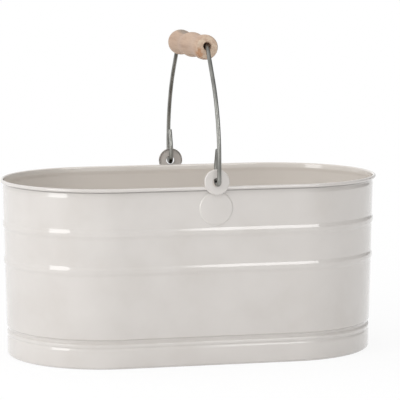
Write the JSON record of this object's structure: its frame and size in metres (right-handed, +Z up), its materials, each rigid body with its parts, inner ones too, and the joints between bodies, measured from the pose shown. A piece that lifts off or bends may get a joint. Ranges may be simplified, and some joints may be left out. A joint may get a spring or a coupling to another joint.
{
  "type": "utility bucket",
  "caption": "Oval painted steel bucket with beaded walls, a rolled rim, pressed ears, and a swinging wire bail with a turned wooden grip.",
  "frame": {"origin": "middle of the plane that the foot stands on, under the middle of the oval", "axes": "+X along the oval, +Y across it from the front ear to the back ear, +Z up towards the rim"},
  "size_m": [0.36, 0.2168, 0.3016],
  "materials": {
    "tub_paint": "warm pale grey gloss paint",
    "ear_paint": "warm pale grey gloss paint",
    "bail_zinc": "dull galvanised wire",
    "grip_wood": "plain turned pale wood"
  },
  "bodies": {
    "tub": {"tub_wall": "tub_paint", "floor_pan": "tub_paint", "front_ear": "ear_paint", "back_ear": "ear_paint"},
    "bail": {"bail_wire": "bail_zinc"},
    "grip": {"wooden_grip": "grip_wood"}
  },
  "joints": [
    {"name": "bail_swing", "type": "hinge", "parent": "tub", "child": "bail", "pos_m": [0.0032, 0, 0.1684], "axis": [0, 1, 0], "range_deg": [-90, 90]},
    {"name": "grip_spin", "type": "hinge", "parent": "bail", "child": "grip", "pos_m": [0.0032, 0, 0.2913], "axis": [0, 1, 0], "continuous": true}
  ]
}
